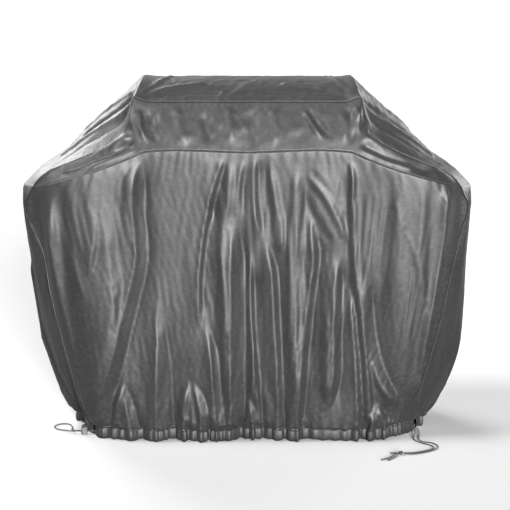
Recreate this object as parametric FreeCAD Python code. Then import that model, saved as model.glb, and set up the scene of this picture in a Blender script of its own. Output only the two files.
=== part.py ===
import FreeCAD, Part
import math
import os

from FreeCAD import Vector

# Fitted cover for a free-standing grill with two side shelves, shown as it hangs on the grill.
# Units mm. +X is the right end seen from the front, -Y is the front, +Z is up, z = 0 is the floor.

# ---- driving dimensions -------------------------------------------------------------------
FABRIC = 2.0              # wall of every fabric panel, cloth with its folds
CREST_Z = 1130.0          # top of the cover over the hood
CREST_HALF_Y = 100.0      # half depth of the flat part of the top
TOP_SEAM_Z = 1078.0       # seam between the top panel and the front panel
HOOD_HALF_X = 350.0       # half length of the top panel at that seam
YOKE_SEAM_Z = 925.0       # seam between yoke and skirt, at the front edge of the hood
YOKE_HALF_X = 315.0
HALF_LENGTH = 725.0       # shoulders, the widest point of the cover
HALF_DEPTH = 305.0        # deepest point of the skirt
HEM_HEIGHT = 36.0         # drawstring casing sewn along the hem
CASING_DEPTH = 12.0
CASING_WALL = 1.5
CORD_D = 4.0              # round braided drawstring
CORD_R = CORD_D / 2.0
CORD_Z = 12.0             # height of the drawstring inside the casing
PIPING_D = 5.0            # round piping sewn into the two long seams
PIPING_GAP = 0.6

# Seam between front panel and side panel, right front quarter, from the hood down to the hem.
SEAM = [
    (HOOD_HALF_X, -215.0, TOP_SEAM_Z),
    (398.0, -252.0, 955.0),
    (600.0, -272.0, 866.0),
    (652.0, -260.0, 816.0),
    (690.0, -238.0, 762.0),
    (603.0, -218.0, 340.0),
    (520.0, -185.0, HEM_HEIGHT),
]
# Edge of the middle strip of the side panel, level with the points of the seam.
MIDDLE = [
    (335.0, -CREST_HALF_Y, CREST_Z),
    (505.0, -110.0, 968.0),
    (652.0, -130.0, 852.0),
    (702.0, -130.0, 802.0),
    (HALF_LENGTH, -125.0, 745.0),
    (686.0, -140.0, 350.0),
    (560.0, -125.0, HEM_HEIGHT),
]
SHELF_CORNER = (600.0, -290.0, 840.0)      # front corner of the side shelf under the cloth
YOKE_CORNER = (YOKE_HALF_X, -300.0, YOKE_SEAM_Z)
SKIRT_LOW = [(520.0, -288.0, 340.0), (315.0, -HALF_DEPTH, 340.0)]
SKIRT_HEM = [(455.0, -240.0, HEM_HEIGHT), (315.0, -265.0, HEM_HEIGHT)]

# Free drawstring at the left front corner, a bight that runs out through the cord lock and back.
LEFT_LOOP = [
    (-492.0, -201.4, 12.0), (-512.0, -201.6, 12.1), (-553.0, -201.4, 12.0),
    (-567.0, -186.0, 7.0), (-569.0, -160.0, 3.0), (-570.0, -132.0, 2.2),
    (-584.0, -104.0, 2.2), (-612.0, -101.0, 2.2), (-632.0, -123.0, 2.2),
    (-626.0, -152.0, 2.2), (-601.0, -168.0, 2.2), (-583.0, -175.0, 3.5),
    (-573.0, -196.0, 8.5), (-553.0, -206.2, 12.0), (-512.0, -206.0, 12.1),
    (-490.0, -205.8, 12.0),
]
# The two ends of the drawstring at the right front corner, down to the knot.
RIGHT_OUTER = [
    (539.0, -160.0, 12.0), (546.0, -176.0, 10.5), (551.0, -204.0, 5.0),
    (549.0, -236.0, 2.6), (544.0, -262.0, 2.2), (556.0, -286.0, 2.2),
    (584.0, -292.0, 2.2), (602.0, -320.0, 2.2), (592.0, -354.0, 2.2),
    (560.0, -380.0, 2.2), (524.0, -397.0, 2.3), (498.0, -401.0, 3.0),
    (484.0, -404.0, 5.0),
]
RIGHT_INNER = [
    (534.0, -167.0, 12.0), (537.0, -185.0, 10.5), (532.0, -213.0, 5.0),
    (528.0, -240.0, 2.6), (532.0, -268.0, 2.2), (548.0, -295.0, 2.2),
    (572.0, -311.0, 2.2), (586.0, -331.0, 2.2), (578.0, -353.0, 2.2),
    (552.0, -371.0, 2.2), (520.0, -387.0, 2.3), (498.0, -392.0, 3.0),
    (484.0, -397.0, 5.0),
]
KNOT_AT = (473.5, -401.0, 7.0)
KNOT_HALF = (10.5, 8.5, 6.0)
UPPER_END = [(463.0, -396.0, 5.0), (454.0, -391.5, 3.0), (443.0, -391.0, 2.2)]
LONG_END = [(463.0, -402.0, 5.0), (449.0, -414.0, 2.6), (431.0, -438.0, 2.2), (409.0, -452.0, 2.2)]
SHORT_END = [(466.0, -408.5, 5.0), (459.0, -420.0, 2.6), (446.0, -441.0, 2.2), (429.0, -456.0, 2.2)]

# Cord lock on the left loop: barrel, plunger with a button end, spring below it.
LOCK_AT = (-524.0, -203.7)
LOCK_HALF = (10.0, 9.0)
LOCK_FOOT = 0.5
BARREL_TOP = 24.5
CAVITY_FLOOR = 2.2
CAVITY_HALF = (7.6, 6.8)
RUNNING_FIT = 0.05
BORE_WIDE = 9.6           # along Y, the two strands side by side
BORE_LOW, BORE_HIGH = 9.6, 14.8
BUTTON_TOP = 31.5
PLUNGER_FOOT = 8.2
BUTTON_TRAVEL = 3.5
SPRING_R = 4.2
SPRING_WIRE_R = 0.3
SPRING_TURNS = 3.5

TINY = 1e-6
solids = {}


# ---- points and lines ---------------------------------------------------------------------
def turned(point, side, face):
    """A point of the right front quarter carried to another quarter."""
    return Vector(point[0] * side, point[1] * face, point[2])


def key_of(point):
    return (round(point.x, 3), round(point.y, 3), round(point.z, 3))


def rounded_line(points, share=0.45):
    """Straight runs joined by tangent arcs; returns the wire and the smallest arc radius."""
    corners = [Vector(*p) for p in points]
    edges = []
    start = corners[0]
    smallest = 1e9
    for before, corner, after in zip(corners, corners[1:], corners[2:]):
        along = (corner - before).normalize()
        away = (after - corner).normalize()
        cosine = max(-1.0, min(1.0, along.dot(away)))
        half_turn = math.acos(cosine) / 2.0
        shorter = min((corner - before).Length, (after - corner).Length)
        cut = share * shorter
        radius = cut / math.tan(half_turn)
        smallest = min(smallest, radius)
        arc_start = corner - along * cut
        arc_end = corner + away * cut
        inward = (away - along).normalize()
        centre = corner + inward * math.hypot(radius, cut)
        arc_mid = centre - inward * radius
        edges.append(Part.LineSegment(start, arc_start).toShape())
        edges.append(Part.Arc(arc_start, arc_mid, arc_end).toShape())
        start = arc_end
    edges.append(Part.LineSegment(start, corners[-1]).toShape())
    return Part.Wire(edges), smallest


def cord(name, points):
    """A round cord along a limp route, checked against section times length."""
    wire, smallest = rounded_line(points)
    first = Vector(*points[0])
    heading = Vector(*points[1]) - first
    disc = Part.Wire(Part.makeCircle(CORD_R, first, heading))
    tube = wire.makePipeShell([disc], True, False)
    expected = math.pi * CORD_R ** 2 * wire.Length
    print("%s: length %.1f mm, least radius %.1f mm, volume ratio %.4f"
          % (name, wire.Length, smallest, tube.Volume / expected))
    solids[name] = tube


def beaded_tube(points, radius):
    """A tube with ball corners along straight runs."""
    body = None
    for first, last in zip(points, points[1:]):
        run = Part.makeCylinder(radius, (last - first).Length, first, last - first)
        ball = Part.makeSphere(radius * 1.02, last)
        body = run if body is None else body.fuse(run)
        if last is not points[-1]:
            body = body.fuse(ball)
    return body.removeSplitter()


# ---- fabric panels ------------------------------------------------------------------------
def strip(first_row, second_row):
    """Triangles between two rows of equal length."""
    out = []
    for index in range(len(first_row) - 1):
        a, b = first_row[index], first_row[index + 1]
        c, d = second_row[index], second_row[index + 1]
        out.append((a, c, d))
        out.append((a, d, b))
    return out


def side_faces(side):
    """Side panel: four lines of points from the front seam over the middle to the back seam."""
    rows = []
    for seam_point, middle_point in zip(SEAM, MIDDLE):
        rows.append([turned(seam_point, side, 1), turned(middle_point, side, 1),
                     turned(middle_point, side, -1), turned(seam_point, side, -1)])
    out = []
    for upper, lower in zip(rows, rows[1:]):
        out += strip(upper, lower)
    return out


def top_faces():
    left = [turned(SEAM[0], -1, 1), turned(MIDDLE[0], -1, 1),
            turned(MIDDLE[0], -1, -1), turned(SEAM[0], -1, -1)]
    right = [turned(SEAM[0], 1, 1), turned(MIDDLE[0], 1, 1),
             turned(MIDDLE[0], 1, -1), turned(SEAM[0], 1, -1)]
    return strip(left, right)


def yoke_faces(face):
    """Yoke: the hood front and, on both sides, the cloth over the front of the side shelf."""
    out = []
    corner = {side: turned(YOKE_CORNER, side, face) for side in (-1, 1)}
    out += strip([turned(SEAM[0], -1, face), turned(SEAM[0], 1, face)], [corner[-1], corner[1]])
    for side in (-1, 1):
        seam = [turned(p, side, face) for p in SEAM]
        shelf = turned(SHELF_CORNER, side, face)
        out.append((seam[0], seam[1], corner[side]))
        out.append((corner[side], seam[1], shelf))
        out.append((seam[1], seam[2], shelf))
        out.append((seam[2], seam[3], shelf))
    return out


def skirt_faces(face):
    upper, low, hem = [], [], []
    for side in (-1, 1):
        top = [turned(SEAM[4], side, face), turned(SHELF_CORNER, side, face),
               turned(YOKE_CORNER, side, face)]
        middle = [turned(SEAM[5], side, face)] + [turned(p, side, face) for p in SKIRT_LOW]
        bottom = [turned(SEAM[6], side, face)] + [turned(p, side, face) for p in SKIRT_HEM]
        if side == 1:
            top, middle, bottom = top[::-1], middle[::-1], bottom[::-1]
        upper += top
        low += middle
        hem += bottom
    out = strip(upper, low) + strip(low, hem)
    for side in (-1, 1):
        out.append((turned(SEAM[3], side, face), turned(SEAM[4], side, face),
                    turned(SHELF_CORNER, side, face)))
    return out


def facing_out(triangle):
    """Order the corners so that the face looks away from the middle of the cover."""
    a, b, c = triangle
    middle = (a + b + c) * (1.0 / 3.0)
    normal = (b - a).cross(c - a)
    outward = middle - Vector(middle.x * 0.55, 0.0, 520.0)
    if normal.dot(outward) < 0.0:
        return (a, c, b)
    return triangle


PANELS = {
    "top_panel": top_faces(),
    "left_side_panel": side_faces(-1),
    "right_side_panel": side_faces(1),
    "front_yoke_panel": yoke_faces(1),
    "front_skirt_panel": skirt_faces(1),
    "back_yoke_panel": yoke_faces(-1),
    "back_skirt_panel": skirt_faces(-1),
}
for panel_name in PANELS:
    PANELS[panel_name] = [facing_out(t) for t in PANELS[panel_name]]

# Inward direction at every corner, shared by all the panels that meet there.
normals = {}
for faces in PANELS.values():
    for a, b, c in faces:
        area_normal = (b - a).cross(c - a)
        for corner in (a, b, c):
            k = key_of(corner)
            normals[k] = normals.get(k, Vector(0, 0, 0)) + area_normal


def outward_at(point):
    normal = Vector(normals[key_of(point)])
    if abs(point.z - HEM_HEIGHT) < TINY:
        normal.z = 0.0
    return normal.normalize()


def inner(point):
    return point - outward_at(point) * (FABRIC * 1.1)


def triangle_face(a, b, c):
    return Part.Face(Part.makePolygon([a, b, c, a]))


def panel_solid(faces):
    """Closed solid between the outer faces and the same faces moved inward."""
    made = []
    count = {}
    for a, b, c in faces:
        made.append(triangle_face(a, b, c))
        made.append(triangle_face(inner(a), inner(c), inner(b)))
        for p, q in ((a, b), (b, c), (c, a)):
            edge = tuple(sorted((key_of(p), key_of(q))))
            count.setdefault(edge, []).append((p, q))
    for edge, uses in count.items():
        if len(uses) == 1:
            # The same diagonal is used by both panels that share this edge.
            p, q = uses[0]
            if key_of(p) > key_of(q):
                p, q = q, p
            made.append(triangle_face(p, q, inner(p)))
            made.append(triangle_face(q, inner(q), inner(p)))
    solid = Part.Solid(Part.makeShell(made))
    if solid.Volume < 0.0:
        solid.reverse()
    return solid


for panel_name, faces in PANELS.items():
    solids[panel_name] = panel_solid(faces)


# ---- piping in the two long seams ----------------------------------------------------------
def seam_piping(face):
    route = [turned(p, -1, face) for p in SEAM[::-1]] + [turned(p, 1, face) for p in SEAM]
    reach = PIPING_D / 2.0 + PIPING_GAP
    lifted = [p + outward_at(p) * reach for p in route]
    return beaded_tube(lifted, PIPING_D / 2.0)


solids["front_piping"] = seam_piping(1)
solids["back_piping"] = seam_piping(-1)


# ---- drawstring casing along the hem --------------------------------------------------------
def shifted(path, distance):
    """An open path in plan moved sideways, with mitred corners."""
    out = []
    for index, point in enumerate(path):
        sides = []
        if index > 0:
            sides.append((path[index] - path[index - 1]).normalize())
        if index < len(path) - 1:
            sides.append((path[index + 1] - path[index]).normalize())
        left = [Vector(-d.y, d.x, 0) for d in sides]
        if len(left) == 1:
            out.append(point + left[0] * distance)
        else:
            bisector = (left[0] + left[1]).normalize()
            out.append(point + bisector * (distance / bisector.dot(left[0])))
    return out


def plan_prism(path, near, far, bottom, top, extend=0.0):
    """Upright band between two sideways shifts of a path."""
    longer = [Vector(p) for p in path]
    longer[0] = longer[0] + (longer[0] - longer[1]).normalize() * extend
    longer[-1] = longer[-1] + (longer[-1] - longer[-2]).normalize() * extend
    ring = shifted(longer, near) + shifted(longer, far)[::-1]
    ring = [Vector(p.x, p.y, bottom) for p in ring]
    outline = Part.Face(Part.makePolygon(ring + [ring[0]]))
    return outline.extrude(Vector(0, 0, top - bottom))


def between(first, last, distance):
    return first + (last - first).normalize() * distance


def casing(path):
    body = plan_prism(path, 0.0, CASING_DEPTH, 0.0, HEM_HEIGHT)
    hollow = plan_prism(path, CASING_WALL, CASING_DEPTH - CASING_WALL,
                        CASING_WALL, HEM_HEIGHT - CASING_WALL, 5.0)
    return body.cut(hollow)


def plan(point, side, face):
    return Vector(point[0] * side, point[1] * face, 0.0)


LEFT_GAP = (20.0, 50.0)      # from the left front seam along the front
RIGHT_GAP = (12.0, 42.0)     # from the right front seam along the side

front_path = [
    between(plan(SEAM[6], -1, 1), plan(SKIRT_HEM[0], -1, 1), LEFT_GAP[1]),
    plan(SKIRT_HEM[0], -1, 1), plan(SKIRT_HEM[1], -1, 1),
    plan(SKIRT_HEM[1], 1, 1), plan(SKIRT_HEM[0], 1, 1), plan(SEAM[6], 1, 1),
    between(plan(SEAM[6], 1, 1), plan(MIDDLE[6], 1, 1), RIGHT_GAP[0]),
]
rear_path = [
    between(plan(SEAM[6], 1, 1), plan(MIDDLE[6], 1, 1), RIGHT_GAP[1]),
    plan(MIDDLE[6], 1, 1), plan(MIDDLE[6], 1, -1), plan(SEAM[6], 1, -1),
    plan(SKIRT_HEM[0], 1, -1), plan(SKIRT_HEM[1], 1, -1),
    plan(SKIRT_HEM[1], -1, -1), plan(SKIRT_HEM[0], -1, -1), plan(SEAM[6], -1, -1),
    plan(MIDDLE[6], -1, -1), plan(MIDDLE[6], -1, 1), plan(SEAM[6], -1, 1),
    between(plan(SEAM[6], -1, 1), plan(SKIRT_HEM[0], -1, 1), LEFT_GAP[0]),
]
solids["front_hem_casing"] = casing(front_path)
solids["rear_hem_casing"] = casing(rear_path)


# ---- drawstring -----------------------------------------------------------------------------
def captive_run(name, path):
    """The part of the drawstring that lies inside a casing."""
    middle = shifted(path, CASING_DEPTH / 2.0)
    wire_points = [(p.x, p.y, CORD_Z) for p in middle]
    corners = [Vector(*p) for p in wire_points]
    radius = 5.0 * CORD_D
    edges = []
    start = corners[0]
    for before, corner, after in zip(corners, corners[1:], corners[2:]):
        along = (corner - before).normalize()
        away = (after - corner).normalize()
        half_turn = math.acos(along.dot(away)) / 2.0
        cut = radius * math.tan(half_turn)
        inward = (away - along).normalize()
        centre = corner + inward * math.hypot(radius, cut)
        edges.append(Part.LineSegment(start, corner - along * cut).toShape())
        edges.append(Part.Arc(corner - along * cut, centre - inward * radius,
                              corner + away * cut).toShape())
        start = corner + away * cut
    edges.append(Part.LineSegment(start, corners[-1]).toShape())
    wire = Part.Wire(edges)
    disc = Part.Wire(Part.makeCircle(CORD_R, corners[0], corners[1] - corners[0]))
    tube = wire.makePipeShell([disc], True, False)
    print("%s: length %.1f mm, radius %.1f mm, volume ratio %.4f"
          % (name, wire.Length, radius, tube.Volume / (math.pi * CORD_R ** 2 * wire.Length)))
    solids[name] = tube


captive_run("front_drawstring_run", front_path)
captive_run("rear_drawstring_run", rear_path)
cord("left_loop_cord", LEFT_LOOP)
cord("right_outer_strand", RIGHT_OUTER)
cord("right_inner_strand", RIGHT_INNER)
cord("upper_cord_end", UPPER_END)
cord("long_cord_end", LONG_END)
cord("short_cord_end", SHORT_END)


def knot():
    """Overhand knot pulled tight: a rounded core with the strands wound over it."""
    centre = Vector(*KNOT_AT)
    core = Part.makeSphere(1.0)
    stretch = FreeCAD.Matrix()
    stretch.scale(KNOT_HALF[0] - 1.5, KNOT_HALF[1] - 2.5, KNOT_HALF[2] - 2.0)
    body = core.transformGeometry(stretch)
    body.translate(centre)
    for offset, tilt in ((-3.2, 18.0), (2.8, -16.0)):
        ring = Part.makeTorus(KNOT_HALF[2] - CORD_R + 0.2, CORD_R, Vector(0, 0, 0), Vector(1, 0, 0))
        ring.rotate(Vector(0, 0, 0), Vector(0, 0, 1), tilt)
        ring.translate(centre + Vector(offset, 0, 0))
        body = body.fuse(ring)
    for name in ("right_outer_strand", "right_inner_strand", "upper_cord_end",
                 "long_cord_end", "short_cord_end"):
        body = body.cut(solids[name])
    pieces = sorted(body.Solids, key=lambda piece: piece.Volume)
    return pieces[-1]


solids["drawstring_knot"] = knot()


# ---- cord lock ------------------------------------------------------------------------------
def oval_post(half_x, half_y, bottom, top):
    centre = Vector(LOCK_AT[0], LOCK_AT[1], bottom)
    if half_x >= half_y:
        ellipse = Part.Ellipse(centre, half_x, half_y)
    outline = Part.Face(Part.Wire(ellipse.toShape()))
    return outline.extrude(Vector(0, 0, top - bottom))


def cross_bore(low, high):
    """Flat-sided oblong bore along X for two strands side by side."""
    length = 4.0 * LOCK_HALF[0]
    return Part.makeBox(length, BORE_WIDE, high - low,
                        Vector(LOCK_AT[0] - length / 2.0, LOCK_AT[1] - BORE_WIDE / 2.0, low))


def edges_at(shape, height):
    found = []
    for edge in shape.Edges:
        box = edge.BoundBox
        if abs(box.ZMin - height) < 0.01 and abs(box.ZMax - height) < 0.01:
            found.append(edge)
    return found


barrel = oval_post(LOCK_HALF[0], LOCK_HALF[1], LOCK_FOOT, BARREL_TOP)
barrel = barrel.makeFillet(1.6, edges_at(barrel, LOCK_FOOT))
barrel = barrel.makeFillet(1.0, edges_at(barrel, BARREL_TOP))
cavity = oval_post(CAVITY_HALF[0], CAVITY_HALF[1], CAVITY_FLOOR, BARREL_TOP + 5.0)
barrel = barrel.cut(cavity).cut(cross_bore(BORE_LOW, BORE_HIGH))
solids["cord_lock_barrel"] = barrel

plunger = oval_post(CAVITY_HALF[0] - RUNNING_FIT, CAVITY_HALF[1] - RUNNING_FIT,
                    PLUNGER_FOOT, BUTTON_TOP)
plunger = plunger.makeFillet(1.8, edges_at(plunger, BUTTON_TOP))
plunger = plunger.cut(cross_bore(BORE_LOW, BORE_HIGH + BUTTON_TRAVEL + 0.4))
solids["cord_lock_button"] = plunger

spring_low = CAVITY_FLOOR + SPRING_WIRE_R + 0.1
spring_high = PLUNGER_FOOT - SPRING_WIRE_R - 0.1
helix = Part.makeHelix((spring_high - spring_low) / SPRING_TURNS, spring_high - spring_low, SPRING_R)
helix.translate(Vector(LOCK_AT[0], LOCK_AT[1], spring_low))
spring_start = Vector(LOCK_AT[0] + SPRING_R, LOCK_AT[1], spring_low)
spring_disc = Part.Wire(Part.makeCircle(SPRING_WIRE_R, spring_start, Vector(0, 1, 0)))
solids["cord_lock_spring"] = Part.Wire(helix).makePipeShell([spring_disc], True, True)


# ---- export ---------------------------------------------------------------------------------
os.makedirs("parts", exist_ok=True)
for name, shape in solids.items():
    if not shape.isValid():
        print("not valid:", name)
    box = shape.BoundBox
    print("%-22s solids %d  volume %.1f  x %.1f %.1f  y %.1f %.1f  z %.1f %.1f"
          % (name, len(shape.Solids), shape.Volume, box.XMin, box.XMax,
             box.YMin, box.YMax, box.ZMin, box.ZMax))
    shape.exportStep(os.path.join("parts", name + ".step"))
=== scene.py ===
import bpy
import math

import numpy as np
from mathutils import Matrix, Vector


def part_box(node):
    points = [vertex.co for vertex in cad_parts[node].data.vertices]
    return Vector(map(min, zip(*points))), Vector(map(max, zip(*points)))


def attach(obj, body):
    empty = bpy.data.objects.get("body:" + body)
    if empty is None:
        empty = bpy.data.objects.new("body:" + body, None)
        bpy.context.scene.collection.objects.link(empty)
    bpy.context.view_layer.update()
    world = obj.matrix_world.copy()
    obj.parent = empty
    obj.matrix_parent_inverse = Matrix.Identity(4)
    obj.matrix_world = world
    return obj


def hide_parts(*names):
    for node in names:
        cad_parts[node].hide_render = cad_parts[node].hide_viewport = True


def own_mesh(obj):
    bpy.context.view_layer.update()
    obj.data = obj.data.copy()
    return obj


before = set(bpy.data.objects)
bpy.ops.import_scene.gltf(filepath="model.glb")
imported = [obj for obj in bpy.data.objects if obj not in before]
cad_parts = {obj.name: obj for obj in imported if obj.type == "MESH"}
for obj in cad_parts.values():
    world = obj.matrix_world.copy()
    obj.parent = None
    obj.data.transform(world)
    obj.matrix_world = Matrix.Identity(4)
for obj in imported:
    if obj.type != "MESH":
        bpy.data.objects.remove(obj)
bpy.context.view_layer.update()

# Metres. +X is the right end seen from the front, -Y the front, the floor is z = 0.

# ---- sizes taken from the frame ----
CREST_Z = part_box("top_panel")[1][2] + 0.007
HEM_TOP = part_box("front_hem_casing")[1][2]
CLOTH = 0.0008
CORD_D = 0.004

# ---- grid of the cover, number of cells ----
HOOD_COLS = 112
WING_COLS = 64
YOKE_ROWS = 30
SKIRT_ROWS = 152
DEPTH_COLS = 104
FRONT_COLS = HOOD_COLS + 2 * WING_COLS
UPPER_ROWS = WING_COLS + YOKE_ROWS


# ---- small tools ----
def smooth(low, high, value):
    """0 below low, 1 above high, soft in between."""
    t = np.clip((value - low) / (high - low), 0.0, 1.0)
    return t * t * (3.0 - 2.0 * t)


def through(points, at, wanted):
    """Smooth curve through points of any shape along axis 0, read at the wanted parameters."""
    points = np.asarray(points, float)
    at = np.asarray(at, float)
    step = np.diff(at)
    slope = np.diff(points, axis=0) / step.reshape(-1, *([1] * (points.ndim - 1)))
    tangent = np.empty_like(points)
    tangent[0], tangent[-1] = slope[0], slope[-1]
    if len(at) > 2:
        share = (step[:-1] / (step[:-1] + step[1:])).reshape(-1, *([1] * (points.ndim - 1)))
        tangent[1:-1] = slope[:-1] * (1.0 - share) + slope[1:] * share
    cell = np.clip(np.searchsorted(at, wanted, side="right") - 1, 0, len(at) - 2)
    shape = (-1, *([1] * (points.ndim - 1)))
    t = ((np.asarray(wanted) - at[cell]) / step[cell]).reshape(shape)
    h = step[cell].reshape(shape)
    a, b = points[cell], points[cell + 1]
    ta, tb = tangent[cell], tangent[cell + 1]
    return (a * (2 * t**3 - 3 * t**2 + 1) + ta * h * (t**3 - 2 * t**2 + t)
            + b * (-2 * t**3 + 3 * t**2) + tb * h * (t**3 - t**2))


def lengths(points):
    """Distance run along a polyline, from 0."""
    run = np.linalg.norm(np.diff(points, axis=0), axis=1)
    return np.concatenate([[0.0], np.cumsum(run)])


def shares(cells):
    """Evenly spaced shares from 0 to 1 for a row of cells."""
    return np.linspace(0.0, 1.0, cells + 1)


def read_at(wanted, run, points):
    """Points of a polyline at the wanted distances along it."""
    return np.stack([np.interp(wanted, run, points[:, k]) for k in range(3)], axis=1)


def quads(rows, cols, flip=False, close=False):
    """Faces of a grid of points, or of one whose last column joins its first."""
    i = np.arange(rows - 1)[:, None]
    j = np.arange(cols if close else cols - 1)[None, :]
    k = (j + 1) % cols
    q = np.stack([i * cols + j, (i + 1) * cols + j, (i + 1) * cols + k, i * cols + k], axis=-1)
    q = q.reshape(-1, 4)
    return q[:, ::-1] if flip else q


def linked(name, data):
    """A new object in the scene."""
    piece = bpy.data.objects.new(name, data)
    bpy.context.scene.collection.objects.link(piece)
    return piece


def select(piece):
    bpy.ops.object.select_all(action="DESELECT")
    piece.select_set(True)
    bpy.context.view_layer.objects.active = piece


def put_mesh(name, points, faces, uv=None):
    """A smooth mesh object; uv holds a pair for each point."""
    mesh = bpy.data.meshes.new(name)
    mesh.from_pydata(np.asarray(points).reshape(-1, 3).tolist(), [], faces)
    if uv is not None:
        corner = np.empty(len(mesh.loops), dtype=np.int32)
        mesh.loops.foreach_get("vertex_index", corner)
        layer = mesh.uv_layers.new(name="weave")
        layer.data.foreach_set("uv", uv[corner].reshape(-1))
    mesh.shade_smooth()
    return linked(name, mesh)


def along(points, wanted):
    """A smooth curve through points, read at shares of its length."""
    points = np.asarray(points, float)
    rough = lengths(points)
    fine = through(points, rough / rough[-1], np.linspace(0.0, 1.0, 400))
    run = lengths(fine)
    run /= run[-1]
    return read_at(wanted, run, fine)


def arch(share, power=0.5):
    """0 at both ends of a share from 0 to 1, and 1 in the middle."""
    return np.clip(np.sin(np.pi * share), 0.0, 1.0) ** power


def rumple(points, pitch, seed, octaves=3):
    """Smooth random field in space, about -1 to 1, features as large as pitch."""
    random = np.random.default_rng(seed)
    total = np.zeros(points.shape[:-1])
    weight = 0.0
    for octave in range(octaves):
        size = 0.5**octave
        for _ in range(7):
            way = random.normal(size=3)
            way *= 2 * np.pi / (pitch * 0.5**octave) / np.linalg.norm(way) * random.uniform(0.6, 1.3)
            total += size * np.sin(points @ way + random.uniform(0, 2 * np.pi))
        weight += size * 7**0.5
    return total / weight


# ---- outline of the hanging cover ----
# Front seam from the top corner of the hood to the hem, for the right half.
SEAM_TOP = [(0.350, -0.213, 1.084), (0.366, -0.226, 1.022), (0.396, -0.247, 0.962),
            (0.445, -0.258, 0.930), (0.522, -0.266, 0.896), (0.600, -0.271, 0.866)]
SEAM_SHELF = [(0.600, -0.271, 0.866), (0.632, -0.267, 0.842), (0.656, -0.259, 0.814)]
SEAM_LOW = [(0.656, -0.259, 0.814), (0.692, -0.240, 0.755), (0.680, -0.235, 0.680),
            (0.650, -0.231, 0.580), (0.622, -0.227, 0.480), (0.590, -0.220, 0.340),
            (0.550, -0.209, 0.200), (0.526, -0.192, 0.080), (0.520, -0.186, HEM_TOP)]
LOW_AT = [0.0, 0.075, 0.16, 0.27, 0.385, 0.54, 0.70, 0.845, 1.0]

# Middle of the end panel, from the top to the hem: on the crest line and 0.12 m in front of it.
END_MIDDLE_TOP = [(0.334, 0.0, CREST_Z), (0.415, 0.0, 1.062), (0.525, 0.0, 0.960),
                  (0.595, 0.0, 0.893), (0.670, 0.0, 0.842), (0.712, 0.0, 0.800)]
END_QUARTER_TOP = [(0.336, -0.100, CREST_Z - 0.008), (0.408, -0.108, 1.048), (0.498, -0.118, 0.962),
                   (0.580, -0.128, 0.893), (0.660, -0.138, 0.846), (0.704, -0.138, 0.802)]
TOP_AT = [0.0, 0.22, 0.48, 0.66, 0.87, 1.0]
END_MIDDLE_LOW = [(0.712, 0.0, 0.800), (0.727, 0.0, 0.742), (0.722, 0.0, 0.670),
                  (0.712, 0.0, 0.575), (0.700, 0.0, 0.475), (0.682, 0.0, 0.340),
                  (0.650, 0.0, 0.200), (0.600, 0.0, 0.085), (0.562, 0.0, HEM_TOP)]
END_QUARTER_LOW = [(0.704, -0.138, 0.802), (0.724, -0.130, 0.742), (0.716, -0.132, 0.672),
                   (0.700, -0.136, 0.577), (0.684, -0.140, 0.477), (0.662, -0.141, 0.340),
                   (0.628, -0.137, 0.200), (0.582, -0.128, 0.085), (0.553, -0.122, HEM_TOP)]

# Front panel below the yoke seam: shelf corner, hood corner and middle, from the seam to the hem.
SHELF_LOW = [(0.606, -0.289, 0.840), (0.600, -0.294, 0.770), (0.586, -0.297, 0.690),
             (0.566, -0.298, 0.585), (0.546, -0.297, 0.483), (0.516, -0.290, 0.340),
             (0.487, -0.274, 0.200), (0.464, -0.252, 0.082), (0.457, -0.243, HEM_TOP)]
HOOD_LOW = [(0.316, -0.300, 0.925), (0.323, -0.305, 0.845), (0.328, -0.307, 0.755),
            (0.330, -0.308, 0.635), (0.326, -0.308, 0.510), (0.318, -0.306, 0.345),
            (0.315, -0.298, 0.200), (0.313, -0.276, 0.082), (0.312, -0.267, HEM_TOP)]
CENTRE_LOW = [(0.0, -0.300, 0.925), (0.0, -0.304, 0.845), (0.0, -0.306, 0.755),
              (0.0, -0.307, 0.635), (0.0, -0.306, 0.510), (0.0, -0.304, 0.345),
              (0.0, -0.297, 0.200), (0.0, -0.275, 0.082), (0.0, -0.264, HEM_TOP)]
RIDGE_X = [0.316, 0.360, 0.410, 0.460, 0.530, 0.600, 0.640, 0.656]
RIDGE_SAG = [0.0, 0.012, 0.020, 0.024, 0.021, 0.014, 0.004, 0.0]
HOOD_SHARE = 0.5375        # place of the hood corner between the seam and the middle


def leaned(points, side, face):
    """The right front quarter carried to another quarter; the lower part hangs a little to the right."""
    out = np.array(points, float)
    aside = 0.018 * (1.0 - smooth(0.36, 0.72, out[..., 2])) - 0.008 * (1.0 - smooth(0.04, 0.30, out[..., 2]))
    out[..., 0] = out[..., 0] * side + aside
    out[..., 1] *= face
    return out


def row_shares():
    """Columns of the front panel as shares of the row's length."""
    wing = np.linspace(0.0, HOOD_SHARE / 2.0, WING_COLS + 1)
    hood = np.linspace(HOOD_SHARE / 2.0, 1.0 - HOOD_SHARE / 2.0, HOOD_COLS + 1)
    return np.concatenate([wing, hood[1:], 1.0 - wing[::-1][1:]])


def skirt_base(face):
    """Rows from the yoke seam to the hem, columns from the left seam to the right seam."""
    rows = shares(SKIRT_ROWS)
    left, right = ([through(leaned(p, side, face), LOW_AT, rows)
                    for p in (SEAM_LOW, SHELF_LOW, HOOD_LOW)] for side in (-1, 1))
    centre = through(leaned(CENTRE_LOW, 1, face), LOW_AT, rows)
    lines = np.stack(left + [centre] + right[::-1], axis=1)
    across = row_shares()
    p = np.stack([along(row, across) for row in lines])
    sag = np.interp(np.abs(p[0, :, 0]), RIDGE_X, RIDGE_SAG)
    p[..., 2] -= sag[None] * (1.0 - smooth(0.0, 0.22, rows))[:, None]
    p[..., 1] -= face * 0.30 * sag[None] * (1.0 - smooth(0.0, 0.35, rows))[:, None]
    return p


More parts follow.
